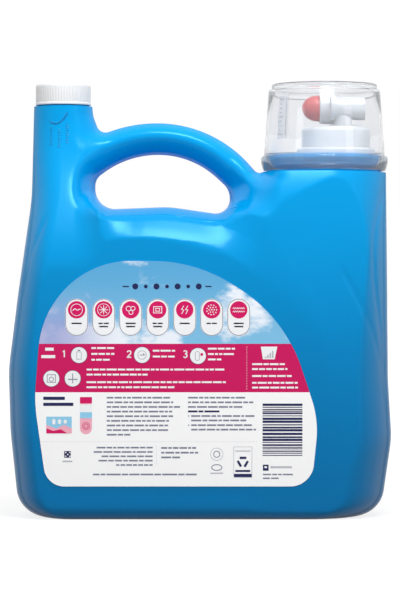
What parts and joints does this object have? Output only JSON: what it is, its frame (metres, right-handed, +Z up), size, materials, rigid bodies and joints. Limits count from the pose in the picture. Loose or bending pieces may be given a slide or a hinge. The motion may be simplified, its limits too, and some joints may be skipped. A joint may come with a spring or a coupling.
{
  "type": "fabric softener bottle",
  "caption": "Large blow-moulded dispenser bottle with a vent column, arched handle, back label, press tap and a dosing cup over the tap.",
  "frame": {"origin": "middle of the flat base, on the mould seam plane", "axes": "+Z up, +X towards the tap and dosing cup, -Y towards the back label"},
  "size_m": [0.2478, 0.106, 0.2797],
  "materials": {
    "bottle": "glossy blow-moulded polyethylene",
    "back_label": "printed film label in plain colour fields",
    "dosing_cup": "clear moulded polypropylene",
    "vent_cap": "satin white polypropylene",
    "vent_liner": "foamed polyethylene",
    "tap_closure": "satin pale grey polypropylene",
    "closure_gasket": "soft elastomer",
    "tap_body": "satin off-white polypropylene",
    "button_ring": "satin white polypropylene",
    "push_button": "smooth red elastomer",
    "valve_stem": "moulded acetal",
    "valve_seal": "soft elastomer"
  },
  "bodies": {
    "bottle": {"bottle": "bottle", "spout_neck": "bottle", "back_label": "back_label", "tap_closure": "tap_closure", "closure_gasket": "closure_gasket", "tap_body": "tap_body", "button_ring": "button_ring"},
    "cup": {"dosing_cup": "dosing_cup"},
    "vent_seal": {"vent_liner": "vent_liner"},
    "vent_cap": {"vent_cap": "vent_cap"},
    "button": {"push_button": "push_button", "valve_stem": "valve_stem", "valve_seal": "valve_seal"}
  },
  "joints": [
    {"name": "cup_lift", "type": "slide", "parent": "bottle", "child": "cup", "axis": [0, 0, 1], "range_m": [0, 0.06]},
    {"name": "vent_lift", "type": "slide", "parent": "bottle", "child": "vent_seal", "axis": [0, 0, 1], "range_m": [0, 0.0064]},
    {"name": "vent_turn", "type": "hinge", "parent": "vent_seal", "child": "vent_cap", "pos_m": [-0.0889, 0, 0.2725], "axis": [0, 0, 1], "range_deg": [0, 540]},
    {"name": "button_press", "type": "slide", "parent": "bottle", "child": "button", "axis": [1, 0, 0], "range_m": [0, 0.004], "stiffness_N_per_m": 900, "springref_m": -0.001}
  ],
  "couplings": [
    {"joint": "vent_lift", "follows": "vent_turn", "m_per_rad": 0.00066845}
  ]
}
